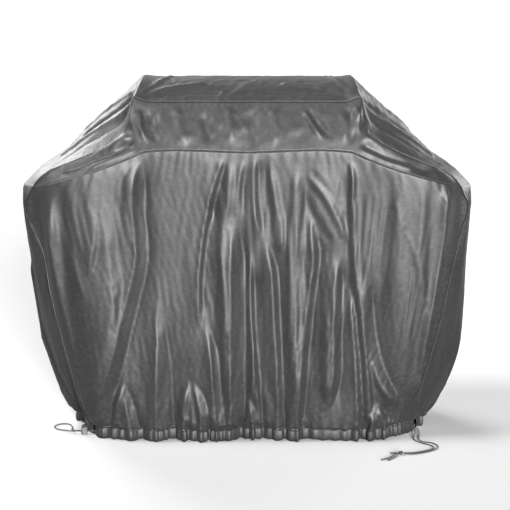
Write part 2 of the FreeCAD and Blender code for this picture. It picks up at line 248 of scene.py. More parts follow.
def end_base(side):
    """Rows from the top edge to the hem, columns from the front seam to the back seam."""
    upper, lower = shares(UPPER_ROWS), shares(SKIRT_ROWS)

    def seam(face):
        return np.concatenate([along(leaned(SEAM_TOP, side, face), shares(WING_COLS)),
                               along(leaned(SEAM_SHELF, side, face), shares(YOKE_ROWS))[1:],
                               through(leaned(SEAM_LOW, side, face), LOW_AT, lower)[1:]])

    def line(top, low, face):
        return np.concatenate([through(leaned(top, side, face), TOP_AT, upper),
                               through(leaned(low, side, face), LOW_AT, lower)[1:]])

    lines = np.stack([seam(1), line(END_QUARTER_TOP, END_QUARTER_LOW, 1),
                      line(END_MIDDLE_TOP, END_MIDDLE_LOW, 1),
                      line(END_QUARTER_TOP, END_QUARTER_LOW, -1), seam(-1)], axis=1)
    return np.stack([along(row, shares(DEPTH_COLS)) for row in lines])


def top_seam(face):
    """Seam between top and yoke: level in the middle, lifted at both ends."""
    x = np.linspace(-1.0, 1.0, HOOD_COLS + 1)
    left, right = leaned(SEAM_TOP[0], -1, face), leaned(SEAM_TOP[0], 1, face)
    line = left + (right - left) * ((x[:, None] + 1.0) / 2.0)
    line[:, 2] -= 0.013 * smooth(1.0, 0.86, np.abs(x))
    line[:, 1] -= 0.004 * face * smooth(1.0, 0.8, np.abs(x))
    return line


def yoke_base(face, ridge):
    """Left wing, hood front and right wing, each rows from the top seam to the yoke seam."""
    down = shares(YOKE_ROWS)[:, None, None]
    out = shares(WING_COLS)[None, :, None]
    hood = top_seam(face)[None] * (1 - down) + ridge[None, WING_COLS:-WING_COLS] * down
    hood[..., 1] -= face * 0.006 * np.sin(np.pi * down[..., 0])
    wings = {}
    for side in (-1, 1):
        upper = along(leaned(SEAM_TOP, side, face), shares(WING_COLS))
        tip = along(leaned(SEAM_SHELF, side, face), shares(YOKE_ROWS))
        low = ridge[WING_COLS::-1] if side < 0 else ridge[-WING_COLS - 1:]
        edge = hood[:, 0] if side < 0 else hood[:, -1]
        ruled = upper[None] * (1 - down) + low[None] * down
        crossed = edge[:, None] * (1 - out) + tip[:, None] * out
        wings[side] = ruled + crossed - ruled[:, :1] * (1 - out) - ruled[:, -1:] * out
    return wings[-1][:, ::-1], hood, wings[1]


def top_base(left_edge, right_edge):
    """Columns along the length, rows from the front seam to the back seam."""
    x = shares(HOOD_COLS)[None, :, None]
    d = shares(DEPTH_COLS)[:, None, None]
    across = left_edge[:, None] * (1 - x) + right_edge[:, None] * x
    return (across + (top_seam(1) - across[0])[None] * (1 - d) ** 3
            + (top_seam(-1) - across[-1])[None] * d**3)


def face_normals(p):
    """Normals of a grid's cells, longer where a cell is larger."""
    return np.cross(p[1:, 1:] - p[:-1, :-1], p[1:, :-1] - p[:-1, 1:])


# ---- the whole cover as one set of points ----
class Grids:
    """Named grids of points; the edges they share are kept equal by place in the rest shape."""

    def __init__(self, grid):
        middle = np.array([0.0, 0.0, 0.55])
        self.turn = {}
        for name, p in grid.items():
            outwards = (p[1:, 1:] + p[:-1, :-1]) / 2 - middle
            self.turn[name] = 1.0 if (face_normals(p) * outwards).sum() > 0 else -1.0
        flat = np.concatenate([p.reshape(-1, 3) for p in grid.values()])
        keys = np.round(flat * 20000).astype(np.int64)
        unique, place = np.unique(keys, axis=0, return_inverse=True)
        place = place.reshape(-1)
        self.count = len(unique)
        self.part = {}
        start = 0
        for name, p in grid.items():
            size = p.shape[0] * p.shape[1]
            self.part[name] = place[start:start + size].reshape(p.shape[:2])
            start += size
        self.points = np.zeros((self.count, 3))
        self.points[place] = flat

    def normals(self, points):
        """Outward normal at every welded point."""
        total = np.zeros((self.count, 3))
        for name, index in self.part.items():
            normal = face_normals(points[index]).reshape(-1, 3) * self.turn[name]
            for rows in (slice(None, -1), slice(1, None)):
                for cols in (slice(None, -1), slice(1, None)):
                    np.add.at(total, index[rows, cols].reshape(-1), normal)
        return total / np.maximum(np.linalg.norm(total, axis=1, keepdims=True), 1e-12)


def build_base():
    grid = {"front_skirt": skirt_base(1), "back_skirt": skirt_base(-1),
            "left_end": end_base(-1), "right_end": end_base(1)}
    for face, name in ((1, "front"), (-1, "back")):
        panels = yoke_base(face, grid[name + "_skirt"][0])
        for wing, panel in zip(("left", "hood", "right"), panels):
            grid[name + "_yoke_" + wing] = panel
    grid["top"] = top_base(grid["left_end"][0], grid["right_end"][0])
    return Grids(grid)


# ---- folds ----
# Lines of the folds in the front skirt, (x, z), with half width and height; a ridge is above 0.
FRONT_FOLDS = [
    ([(-0.335, 0.90), (-0.382, 0.745), (-0.377, 0.605), (-0.418, 0.434), (-0.460, 0.262),
      (-0.485, 0.125)], 0.024, 0.007),
    ([(-0.385, 0.205), (-0.408, 0.134), (-0.423, 0.04)], 0.011, 0.012),
    ([(-0.185, 0.214), (-0.198, 0.134), (-0.204, 0.04)], 0.012, 0.014),
    ([(-0.094, 0.81), (-0.105, 0.70)], 0.014, -0.008),
    ([(-0.052, 0.910), (-0.060, 0.776), (-0.078, 0.69), (-0.073, 0.455), (-0.068, 0.24),
      (-0.066, 0.04)], 0.014, 0.008),
    ([(0.004, 0.640), (0.020, 0.348), (0.012, 0.134)], 0.010, 0.009),
    ([(0.062, 0.912), (0.081, 0.80), (0.100, 0.712), (0.102, 0.60)], 0.014, 0.009),
    ([(0.158, 0.883), (0.143, 0.67), (0.145, 0.348), (0.150, 0.04)], 0.024, 0.010),
    ([(0.316, 0.915), (0.323, 0.776), (0.331, 0.605), (0.354, 0.40), (0.374, 0.24),
      (0.390, 0.04)], 0.012, 0.013),
    ([(0.250, 0.455), (0.246, 0.134)], 0.012, 0.005),
    ([(0.405, 0.135), (0.392, 0.04)], 0.010, 0.010),
    ([(0.426, 0.82), (0.467, 0.723), (0.518, 0.605), (0.554, 0.476)], 0.012, 0.004),
    ([(0.400, 0.80), (0.445, 0.69), (0.490, 0.57)], 0.014, -0.002),
    ([(0.169, 0.883), (0.271, 0.734), (0.312, 0.637)], 0.012, 0.008),
    ([(0.150, 0.840), (0.210, 0.72), (0.270, 0.63)], 0.014, -0.005),
    ([(0.606, 0.845), (0.600, 0.67), (0.570, 0.455), (0.544, 0.294), (0.524, 0.12)], 0.011, 0.010),
    ([(-0.500, 0.80), (-0.462, 0.70), (-0.468, 0.60)], 0.009, 0.003),
]
# Pleats in the front skirt: a slanting face between two sharp edges, with half width, depth, and
# the length over which it opens. Depth above 0 turns the face to the right, below 0 to the left.
FRONT_PLEATS = [
    ([(-0.322, 0.92), (-0.331, 0.75), (-0.322, 0.60), (-0.355, 0.455), (-0.397, 0.295),
      (-0.440, 0.135), (-0.453, 0.04)], 0.019, 0.013, 0.12),
    ([(-0.276, 0.500), (-0.270, 0.40), (-0.261, 0.29), (-0.260, 0.187), (-0.262, 0.04)],
     0.024, 0.017, 0.30),
    ([(-0.392, 0.205), (-0.372, 0.134), (-0.352, 0.04)], 0.012, 0.009, 0.08),
    ([(-0.170, 0.214), (-0.140, 0.134), (-0.128, 0.04)], 0.012, 0.010, 0.08),
    ([(-0.063, 0.915), (-0.092, 0.83), (-0.118, 0.72), (-0.140, 0.562), (-0.142, 0.36)],
     0.007, 0.006, 0.05),
    ([(-0.128, 0.400), (-0.103, 0.30), (-0.092, 0.187), (-0.084, 0.04)], 0.014, 0.012, 0.12),
    ([(-0.040, 0.735), (-0.030, 0.62), (-0.027, 0.46), (-0.028, 0.30), (-0.030, 0.168),
      (-0.036, 0.04)], 0.023, 0.018, 0.16),
    ([(-0.005, 0.905), (-0.020, 0.80), (-0.015, 0.70)], 0.007, 0.006, 0.05),
    ([(0.010, 0.600), (0.016, 0.40), (0.034, 0.20), (0.046, 0.04)], 0.006, 0.008, 0.10),
    ([(0.030, 0.912), (0.030, 0.760), (0.056, 0.640)], 0.010, 0.007, 0.05),
    ([(0.060, 0.660), (0.090, 0.530), (0.094, 0.43), (0.100, 0.30), (0.110, 0.04)],
     0.010, 0.010, 0.10),
    ([(0.006, 0.165), (0.020, 0.10), (0.028, 0.04)], 0.009, 0.009, 0.07),
    ([(0.196, 0.74), (0.215, 0.60), (0.205, 0.50), (0.191, 0.37), (0.180, 0.24), (0.168, 0.04)],
     0.010, 0.012, 0.12),
    ([(0.286, 0.610), (0.284, 0.50), (0.283, 0.35), (0.281, 0.20), (0.262, 0.10)],
     0.014, 0.012, 0.10),
    ([(0.322, 0.520), (0.342, 0.33), (0.352, 0.187), (0.356, 0.04)], 0.008, 0.010, 0.10),
    ([(0.366, 0.560), (0.376, 0.44), (0.392, 0.33), (0.432, 0.205), (0.500, 0.105)],
     0.015, 0.011, 0.12),
    ([(0.412, 0.135), (0.432, 0.09), (0.446, 0.04)], 0.009, 0.008, 0.05),
    ([(0.626, 0.845), (0.614, 0.67), (0.584, 0.455), (0.558, 0.294), (0.536, 0.10)],
     0.012, 0.011, 0.08),
    ([(-0.640, 0.790), (-0.622, 0.610), (-0.592, 0.4625), (-0.560, 0.315), (-0.532, 0.168),
      (-0.512, 0.06)], 0.026, -0.018, 0.12),
    ([(-0.605, 0.820), (-0.565, 0.68), (-0.515, 0.56), (-0.480, 0.44)], 0.013, 0.004, 0.16),
    ([(-0.462, 0.70), (-0.470, 0.60), (-0.500, 0.50)], 0.007, 0.004, 0.10),
]


def line_distance(a, b, way):
    """Distance of the points (a, b) from a polyline, and how far along it they are, in metres."""
    best = np.full(a.shape, 1e9)
    place = np.zeros(a.shape)
    run = 0.0
    for (a0, b0), (a1, b1) in zip(way, way[1:]):
        da, db = a1 - a0, b1 - b0
        size = math.hypot(da, db)
        t = np.clip(((a - a0) * da + (b - b0) * db) / size**2, 0.0, 1.0)
        distance = np.hypot(a - a0 - t * da, b - b0 - t * db)
        closer = distance < best
        best = np.where(closer, distance, best)
        place = np.where(closer, run + t * size, place)
        run += size
    return best, place, run


def crease_line(a, b, way, opening, closing):
    """Distance from a smooth line, the line itself, and 0 to 1 for how open the crease is."""
    knots = lengths(np.array(way))
    bent = through(np.array(way), knots / knots[-1], np.linspace(0, 1, 4 * len(way)))
    distance, place, run = line_distance(a, b, [tuple(p) for p in bent])
    fade = smooth(0.0, opening, place)
    reaches_hem = way[-1][1] <= 0.06
    return distance, bent, fade if reaches_hem else fade * smooth(0.0, closing, run - place)


def fold_height(a, b, folds, opening=0.07, closing=0.05):
    """Sum of ridges and valleys along the given lines; each fades in and out at its ends."""
    total = np.zeros(a.shape)
    for way, half_width, height in folds:
        distance, _, fade = crease_line(a, b, way, opening, closing)
        wide = half_width * (0.55 + 0.45 * fade)
        total += height * fade * np.exp(-(distance / wide) ** 2)
    return total


def pleat_height(a, b, pleats, ease=0.045):
    """Sum of pleat faces: highest at one edge, lowest at the other, easing out on both sides."""
    total = np.zeros(a.shape)
    for way, half_width, depth, opening in pleats:
        distance, bent, fade = crease_line(a, b, way, opening, 0.10)
        middle = np.interp(b, bent[::-1, 1], bent[::-1, 0])
        side = np.where(a > middle, 1.0, -1.0)
        wide = half_width * (0.25 + 0.75 * fade)
        inside = np.minimum(distance / wide, 1.0)
        outside = np.exp(-np.maximum(distance - wide, 0.0) / ease)
        total -= depth * fade * side * inside * outside
    return total


def random_pleats(seed, count, half_span):
    """Pleats for the back or an end, from a random height down to the hem."""
    random = np.random.default_rng(seed)
    out = []
    for k in range(count):
        x = half_span * (-0.94 + 1.88 * (k + random.uniform(0.2, 0.8)) / count)
        top = random.uniform(0.30, 0.88)
        lean = 1.0 - 0.20 * abs(x) / half_span
        way = [(x, top), (x * (1 + lean) / 2 + random.normal() * 0.01, (top + 0.04) / 2),
               (x * lean, 0.04)]
        out.append((way, random.uniform(0.008, 0.020), random.uniform(0.008, 0.015) * random.choice((-1, 1)),
                    random.uniform(0.08, 0.25)))
    return out


def random_folds(seed, count, half_span):
    """Long folds for the back or an end, from a random height down to the hem."""
    random = np.random.default_rng(seed)
    out = []
    for k in range(count):
        x = half_span * (-0.95 + 1.9 * (k + random.uniform(0.2, 0.8)) / count)
        top = random.uniform(0.35, 0.88)
        lean = 1.0 - 0.22 * abs(x) / half_span
        middle = (x * (1 + lean) / 2 + random.normal() * 0.008, (top + 0.04) / 2)
        out.append(([(x, top), middle, (x * lean, 0.04)], random.uniform(0.014, 0.026),
                    random.uniform(0.009, 0.018) * (1 if k % 2 else -1)))
    return out


# ---- lower part of the cover as a simulated tube of cloth ----
def lower_ring(grids):
    """Welded numbers of the lower part: rows from the yoke seam down, columns all round."""
    part = grids.part
    return np.concatenate([part["front_skirt"][:, :-1],
                           part["right_end"][UPPER_ROWS:, :-1],
                           part["back_skirt"][:, :0:-1],
                           part["left_end"][UPPER_ROWS:, :0:-1]], axis=1)


def slack(z):
    """How much wider than the hanging outline the cloth was cut, as a share."""
    return 0.02 * smooth(0.82, 0.72, z) + 0.08 * smooth(0.76, 0.34, z) + 0.11 * smooth(0.40, 0.04, z)


def cut_shape(base):
    """The tube as sewn: each row longer by its slack, columns with their own length."""
    out = base.copy()
    grow = 1.0 + slack(base[..., 2:3])
    out[..., :2] *= grow
    down = np.linalg.norm(np.diff(base, axis=0), axis=2) * 1.008
    level = np.linalg.norm(np.diff(out[..., :2], axis=0), axis=2)
    fall = np.sqrt(np.maximum(down**2 - level**2, (0.3 * down) ** 2))
    out[1:, :, 2] = base[0, :, 2] - np.cumsum(fall, axis=0)
    return out


CLOTH_SETTINGS = {
    "quality": 5, "mass": 0.15, "air_damping": 4.0, "bending_model": "ANGULAR",
    "tension_stiffness": 25.0, "compression_stiffness": 25.0, "shear_stiffness": 8.0,
    "bending_stiffness": 0.6, "tension_damping": 12.0, "compression_damping": 12.0,
    "shear_damping": 8.0, "bending_damping": 1.5, "vertex_group_mass": "held",
    "pin_stiffness": 1.0}


def settle(start, cut, frames):
    """Let the folded tube take its natural folds; the top and the hem stay where they are."""
    rows, cols = start.shape[:2]
    mesh = bpy.data.meshes.new("tube")
    mesh.from_pydata(start.reshape(-1, 3).tolist(), [], quads(rows, cols, close=True).tolist())
    tube = linked("tube", mesh)
    tube.shape_key_add(name="Basis")
    key = tube.shape_key_add(name="cut")
    key.data.foreach_set("co", cut.reshape(-1))
    key.value = 0.0
    held = tube.vertex_groups.new(name="held")
    number = np.arange(rows * cols).reshape(rows, cols)
    held.add(number[0].tolist() + number[-1].tolist(), 1.0, "REPLACE")
    for row, weight in ((1, 0.7), (2, 0.3), (3, 0.1), (rows - 2, 0.3)):
        held.add(number[row].tolist(), weight, "REPLACE")
    cloth = tube.modifiers.new("cloth", "CLOTH")
    for name, value in CLOTH_SETTINGS.items():
        setattr(cloth.settings, name, value)
    cloth.settings.rest_shape_key = key
    cloth.collision_settings.use_collision = False
    scene = bpy.context.scene
    cloth.point_cache.frame_start = 1
    cloth.point_cache.frame_end = frames
    for number in range(1, frames + 1):
        scene.frame_set(number)
    posed = tube.evaluated_get(bpy.context.evaluated_depsgraph_get())
    out = np.empty(rows * cols * 3)
    posed.data.vertices.foreach_get("co", out)
    bpy.data.objects.remove(tube)
    bpy.data.meshes.remove(mesh)
    scene.frame_set(1)
    return out.reshape(rows, cols, 3)


def finer(coarse):
    """A ring grid at twice the number of cells each way."""
    rows = coarse.shape[0]
    down = through(coarse, np.arange(rows), np.arange(0, rows - 0.75, 0.5))
    wrapped = np.concatenate([down[:, -2:], down, down[:, :3]], axis=1)
    cols = down.shape[1]
    at = np.arange(-2, cols + 3)
    return np.moveaxis(through(np.moveaxis(wrapped, 1, 0), at, np.arange(0, cols, 0.5)), 0, 1)


def clear_of_strings(p):
    """0 beside the cord lock and where the strings come out, 1 a little away from them."""
    lock = np.linalg.norm(p - np.array([-0.524, -0.204, 0.015]), axis=-1)
    strings = np.linalg.norm(p - np.array([0.541, -0.170, 0.012]), axis=-1)
    return smooth(0.035, 0.090, lock) * smooth(0.030, 0.080, strings)


# Folds and pleats of the lower part. The ends and the back have random ones of their own.
FOLDS = {"front": FRONT_FOLDS, "back": random_folds(11, 14, 0.62),
         "left": random_folds(21, 5, 0.20), "right": random_folds(22, 5, 0.20)}
PLEATS = {"front": FRONT_PLEATS, "back": random_pleats(12, 17, 0.62),
          "left": random_pleats(25, 6, 0.20), "right": random_pleats(26, 6, 0.20)}


def all_round(place, normal, height):
    """Heights drawn on the front, the back and both ends, blended by the way the cloth faces."""
    x, y, z = place[..., 0], place[..., 1], place[..., 2]
    facing = normal[..., 1]
    total = smooth(-0.05, -0.55, facing) * height(x, z, "front")
    total += smooth(0.05, 0.55, facing) * height(x, z, "back")
    ends = 1.0 - smooth(0.15, 0.75, np.abs(facing))
    for side, name in ((-1, "left"), (1, "right")):
        total += ends * (x * side > 0) * height(y, z, name)
    return total


def loose_folds(a, b, name):
    share = 0.55 if name == "front" else 0.5
    return fold_height(a, b, FOLDS[name]) + share * pleat_height(a, b, PLEATS[name])


def sharp_pleats(a, b, name):
    return pleat_height(a, b, PLEATS[name])


def below_seam(place, rows):
    """0 at the yoke seam and beside the loose strings, 1 elsewhere."""
    return smooth(0.0, rows, np.arange(place.shape[0]))[:, None] * clear_of_strings(place)


def folded_lower(grids, frames=30):
    """Places of the lower ring with its folds."""
    ring = lower_ring(grids)
    fine = grids.points[ring]
    fine_normal = grids.normals(grids.points)[ring]
    base, normal = fine[::2, ::2], fine_normal[::2, ::2]
    lift = all_round(base, normal, loose_folds) * below_seam(base, 3.0)
    settled = base + normal * lift[..., None]
    settled = settle(settled, cut_shape(base), frames)

    # The edges of the pleats are sharper than the tube's cells, so the rest of their depth is put on
    # the full grid.
    sharp = 0.58 * all_round(fine, fine_normal, sharp_pleats) * below_seam(fine, 4.0)
    return ring, finer(settled - base) + fine_normal * sharp[..., None]


# ---- creases that are too small for the simulated tube ----
# Creases over the shelf fronts and the hood front, (x, z) seen from the front.
YOKE_FOLDS = [
    ([(-0.345, 0.975), (-0.420, 0.940), (-0.520, 0.905), (-0.600, 0.875)], 0.012, 0.007),
    ([(-0.340, 0.955), (-0.400, 0.925), (-0.480, 0.895), (-0.570, 0.860)], 0.011, -0.006),
    ([(-0.335, 0.935), (-0.380, 0.915), (-0.440, 0.893), (-0.500, 0.870)], 0.009, 0.005),
    ([(0.345, 0.975), (0.420, 0.940), (0.520, 0.905), (0.610, 0.875)], 0.012, 0.006),
    ([(0.340, 0.950), (0.400, 0.922), (0.480, 0.893), (0.570, 0.862)], 0.011, -0.006),
    ([(0.330, 0.935), (0.380, 0.915), (0.440, 0.893), (0.520, 0.868)], 0.009, 0.005),
    ([(-0.335, 1.060), (-0.325, 1.000), (-0.300, 0.945)], 0.010, 0.005),
    ([(-0.300, 1.060), (-0.285, 1.000), (-0.270, 0.940)], 0.014, -0.005),
    ([(-0.215, 1.060), (-0.205, 1.000), (-0.180, 0.935)], 0.016, 0.004),
    ([(-0.130, 1.050), (-0.120, 0.990), (-0.110, 0.935)], 0.016, -0.005),
    ([(-0.060, 1.060), (-0.050, 1.000), (-0.055, 0.935)], 0.014, 0.004),
    ([(0.020, 1.060), (0.018, 1.000), (0.025, 0.935)], 0.016, -0.004),
    ([(0.080, 1.060), (0.085, 1.000), (0.080, 0.935)], 0.013, 0.004),
    ([(0.170, 1.050), (0.200, 1.000), (0.235, 0.955)], 0.009, 0.006),
    ([(0.185, 1.055), (0.222, 1.005), (0.262, 0.960)], 0.010, -0.006),
    ([(0.290, 1.060), (0.300, 1.000), (0.290, 0.940)], 0.014, 0.004),
    ([(0.340, 1.040), (0.330, 0.990), (0.310, 0.945)], 0.010, -0.005),
]
# Pleats at both hood corners, (x, z), as in the front skirt.
YOKE_PLEATS = [
    ([(-0.350, 1.070), (-0.338, 1.000), (-0.320, 0.935)], 0.010, 0.007, 0.03),
    ([(-0.322, 1.055), (-0.318, 1.000), (-0.308, 0.940)], 0.006, 0.004, 0.03),
    ([(0.328, 1.065), (0.322, 1.000), (0.312, 0.940)], 0.011, -0.007, 0.03),
    ([(0.356, 1.060), (0.345, 1.000), (0.326, 0.945)], 0.009, 0.007, 0.03),
    ([(0.376, 1.000), (0.366, 0.970), (0.345, 0.945)], 0.008, 0.005, 0.03),
]
# Creases in the strips down the slopes, (row share, depth y), pulled towards both top corners.
SLOPE_FOLDS = [
    ([(0.02, -0.19), (0.22, -0.17), (0.48, -0.14), (0.66, -0.12)], 0.010, 0.006),
    ([(0.02, -0.18), (0.25, -0.13), (0.50, -0.08)], 0.010, -0.006),
    ([(0.00, -0.16), (0.24, -0.07), (0.46, -0.01)], 0.010, 0.004),
    ([(0.10, -0.20), (0.40, -0.19), (0.70, -0.19)], 0.010, -0.005),
]
# Creases that run from the front corners of the top, (x, y).
TOP_FOLDS = [
    ([(-0.335, -0.195), (-0.250, -0.150), (-0.140, -0.120)], 0.010, 0.005),
    ([(-0.335, -0.200), (-0.230, -0.180), (-0.090, -0.170)], 0.009, -0.004),
    ([(-0.330, -0.190), (-0.280, -0.110), (-0.240, 0.000)], 0.010, 0.004),
    ([(0.335, -0.195), (0.250, -0.150), (0.120, -0.125)], 0.010, 0.005),
    ([(0.335, -0.200), (0.220, -0.180), (0.060, -0.175)], 0.009, -0.004),
    ([(0.330, -0.190), (0.290, -0.110), (0.260, 0.010)], 0.010, 0.004),
]


def mirrored(folds):
    return [([(a, -b) for a, b in way], wide, -0.8 * high) for way, wide, high in folds]


def creased(points, pitch, seed):
    """Sharp little creases: a rumpled field folded at its middle."""
    return 0.45 - np.abs(rumple(points, pitch, seed, 2))


def pucker_wave(run, pitch, seed):
    """Gathers along a seam: a wave whose pitch and size wander."""
    random = np.random.default_rng(seed)
    total = run[-1]
    knots = np.linspace(0.0, 1.0, max(4, int(total / 0.11)))
    drift = through(random.normal(size=len(knots)) * 1.6, knots, run / total)
    size = 0.5 + 0.5 * np.clip(through(random.normal(size=len(knots)), knots, run / total), -1, 1)
    other = np.sin(2 * np.pi * run / (pitch * 1.62) - 1.7 * drift)
    return size * np.sin(2 * np.pi * run / pitch + 2.0 * drift) + (1.0 - size) * other * 0.9


def small_creases(grids, ring, points):
    """Lift along the normals, in metres, for every welded point."""
    normal = grids.normals(points)
    lift = np.zeros(grids.count)
    rest = grids.points
    for name in [face + "_yoke_" + wing for face in ("front", "back")
                 for wing in ("left", "hood", "right")]:
        spot = grids.part[name]
        p = rest[spot]
        edge = arch(shares(YOKE_ROWS))[:, None]
        lift[spot] = edge * 1.5 * fold_height(p[..., 0], p[..., 2], YOKE_FOLDS, 0.03, 0.04)
        lift[spot] += edge * pleat_height(p[..., 0], p[..., 2], YOKE_PLEATS, 0.02)
        lift[spot] += edge * 0.0018 * rumple(p, 0.075, 31)
    slope_folds = [([(a * 0.5, b) for a, b in way], wide, high)
                   for way, wide, high in SLOPE_FOLDS + mirrored(SLOPE_FOLDS)]
    for name in ("left_end", "right_end"):
        spot = grids.part[name][:UPPER_ROWS + 1]
        p = rest[spot]
        share = shares(UPPER_ROWS)[:, None] * np.ones(DEPTH_COLS + 1)
        edge = arch(shares(DEPTH_COLS))[None]
        edge = edge * smooth(0.0, 0.06, share) * (1.0 - smooth(0.82, 0.98, share))
        lift[spot] = edge * 1.5 * fold_height(share * 0.5, p[..., 1], slope_folds, 0.04, 0.05)
        lift[spot] += edge * 0.0022 * rumple(p, 0.08, 33)
    spot = grids.part["top"]
    p = rest[spot]
    edge = arch(shares(DEPTH_COLS), 0.4)[:, None] * arch(shares(HOOD_COLS), 0.4)[None]
    lift[spot] = edge * 1.7 * fold_height(p[..., 0], p[..., 1], TOP_FOLDS + mirrored(TOP_FOLDS),
                                          0.02, 0.05)
    lift[spot] += edge * 0.0022 * rumple(p, 0.09, 35)

    low = points[ring]
    run = lengths(low[-1])
    above = low[..., 2] - HEM_TOP
    gathers = pucker_wave(run, 0.021, 41)[None] * 0.0034 * np.exp(-above / 0.028)
    gathers += pucker_wave(run, 0.034, 42)[None] * 0.0024 * np.exp(-above / 0.055)
    under = np.maximum(low[0, :, 2][None] - low[..., 2], 0.0)
    run_top = lengths(low[0])
    pinch = (1.0 - np.exp(-under / 0.005)) * np.exp(-under / 0.030)
    gathers += pucker_wave(run_top, 0.027, 43)[None] * 0.0012 * pinch
    lift[ring] += gathers * clear_of_strings(grids.points[ring])
    drawn = points * np.array([1.0, 1.0, 0.28])
    lift += 0.0008 * creased(drawn, 0.055, 51) + 0.0002 * creased(drawn, 0.024, 52)
    return points + normal * lift[:, None]


def seam_puckers(grids, points):
    """Short creases on both sides of the long piped seams."""
    normal = grids.normals(points)
    lift = np.zeros(grids.count)
    pinch = np.array([0.0, 0.7, 1.0, 0.7, 0.4, 0.2, 0.1])
    edges = [(name, False, first, step)
             for name in ("front_skirt", "back_skirt", "left_end", "right_end")
             for first, step in ((0, 1), (-1, -1))]
    edges += [("front_yoke_hood", True, 0, 1), ("top", True, 0, 1),
              ("back_yoke_hood", True, 0, 1), ("top", True, -1, -1)]
    for name, level, first, step in edges:
        grid = grids.part[name].T if level else grids.part[name]
        run = lengths(points[grid[:, first]])
        gathers = pucker_wave(run, 0.019, 61 + len(name)) * 0.0011
        gathers = gathers * arch(run / run[-1], 0.3)
        for k, size in enumerate(pinch):
            lift[grid[:, first + step * k]] += gathers * size
    return points + normal * lift[:, None]


# ---- turning grids into pieces of cloth ----
def grid_uv(p):
    """Metric coordinates that follow the weave: along the rows and down the columns."""
    across = np.linalg.norm(np.diff(p, axis=1), axis=2)
    down = np.linalg.norm(np.diff(p, axis=0), axis=2)
    u = np.concatenate([np.zeros((p.shape[0], 1)), np.cumsum(across, axis=1)], axis=1)
    v = np.concatenate([np.zeros((1, p.shape[1])), np.cumsum(down, axis=0)], axis=0)
    return u - u[:, -1:] / 2.0, -v


def cloth_piece(name, p, normal, turn):
    """A closed sheet of cloth: outer face on the grid, inner face one cloth thickness inside."""
    rows, cols = p.shape[:2]
    count = rows * cols
    faces = quads(rows, cols, flip=turn < 0)
    inner = faces[:, ::-1] + count
    rim = np.concatenate([np.arange(cols), np.arange(1, rows) * cols + cols - 1,
                          (rows - 1) * cols + np.arange(cols - 2, -1, -1),
                          np.arange(rows - 2, 0, -1) * cols])
    after = np.roll(rim, -1)
    side = np.stack([rim, after, after + count, rim + count], axis=1)
    if turn < 0:
        side = side[:, ::-1]
    u, v = grid_uv(p)
    uv = np.stack([u, v], axis=-1).reshape(-1, 2)
    both = np.concatenate([p.reshape(-1, 3), (p - normal * CLOTH).reshape(-1, 3)])
    faces = np.concatenate([faces, inner, side]).tolist()
    piece = put_mesh(name, both, faces, np.concatenate([uv, uv]))
    a, b, c, d = p[:-1, :-1], p[1:, :-1], p[1:, 1:], p[:-1, 1:]
    area = 0.5 * np.linalg.norm(np.cross(c - a, d - b), axis=2).sum()
    width = np.linalg.norm(np.diff(p, axis=1), axis=2).sum(axis=1).max()
    length = np.linalg.norm(np.diff(p, axis=0), axis=2).sum(axis=0).max()
    return piece, (round(float(width), 3), round(float(length), 3)), round(float(area), 3)


def tube(name, p, radius, sides=10):
    """A round strip along points, closed at both ends."""
    p = np.asarray(p, float)
    way = np.gradient(p, axis=0)
    way /= np.linalg.norm(way, axis=1, keepdims=True)
    side = np.empty_like(p)
    first = np.cross(way[0], (0.0, 0.0, 1.0))
    if np.linalg.norm(first) < 0.2:
        first = np.cross(way[0], (0.0, 1.0, 0.0))
    side[0] = first / np.linalg.norm(first)
    for k in range(1, len(p)):
        turned = side[k - 1] - way[k] * (side[k - 1] @ way[k])
        side[k] = turned / np.linalg.norm(turned)
    up = np.cross(side, way)
    angle = np.linspace(0.0, 2 * np.pi, sides, endpoint=False)[None, :, None]
    body = p[:, None] + (side[:, None] * np.cos(angle) + up[:, None] * np.sin(angle)) * radius
    tips = [p[0] - way[0] * radius * 0.4, p[-1] + way[-1] * radius * 0.4]
    count = len(p) * sides
    faces = quads(len(p), sides, close=True).tolist()
    for j in range(sides):
        k = (j + 1) % sides
        faces.append([count, j, k])
        faces.append([count + 1, count - sides + k, count - sides + j])
    run = lengths(p)
    around = np.concatenate([np.tile(np.arange(sides) / sides, len(p)), [0.0, 0.0]])
    down = np.concatenate([np.repeat(run, sides), [0.0, run[-1]]])
    return put_mesh(name, np.concatenate([body.reshape(-1, 3), tips]), faces,
                    np.stack([around, down], axis=1))


# Section of the drawstring channel: outwards from the cloth, height.
CHANNEL = [(0.0000, 0.0372), (0.0008, 0.0330), (0.0018, 0.0270), (0.0022, 0.0200), (0.0018, 0.0120),
           (0.0006, 0.0050), (-0.0020, 0.0012), (-0.0060, 0.0008), (-0.0100, 0.0024),
           (-0.0120, 0.0080), (-0.0124, 0.0160), (-0.0122, 0.0250), (-0.0104, 0.0330),
           (-0.0050, 0.0374)]
BULGE = [0.0, 0.55, 0.9, 1.0, 0.9, 0.6, 0.3, 0.0, 0.0, 0.15, 0.3, 0.3, 0.15, 0.0]


def hem_path(loop, start, end, step=0.0022):
    """Points along the closed hem line from start to end, metres from the left front seam."""
    closed = np.concatenate([loop, loop, loop[:1]])
    run = lengths(closed)
    whole = run[len(loop)]
    at = np.arange(start, end, step) % whole if end <= whole else np.arange(start, end, step)
    return read_at(at, run, closed)


def level_normals(path, reach=4):
    """Outward level directions along a path that runs anticlockwise seen from above."""
    ahead = np.roll(path, -reach, axis=0)
    behind = np.roll(path, reach, axis=0)
    ahead[-reach:] = path[-1]
    behind[:reach] = path[0]
    way = ahead - behind
    out = np.stack([way[:, 1], -way[:, 0], np.zeros(len(path))], axis=1)
    return out / np.linalg.norm(out, axis=1, keepdims=True)


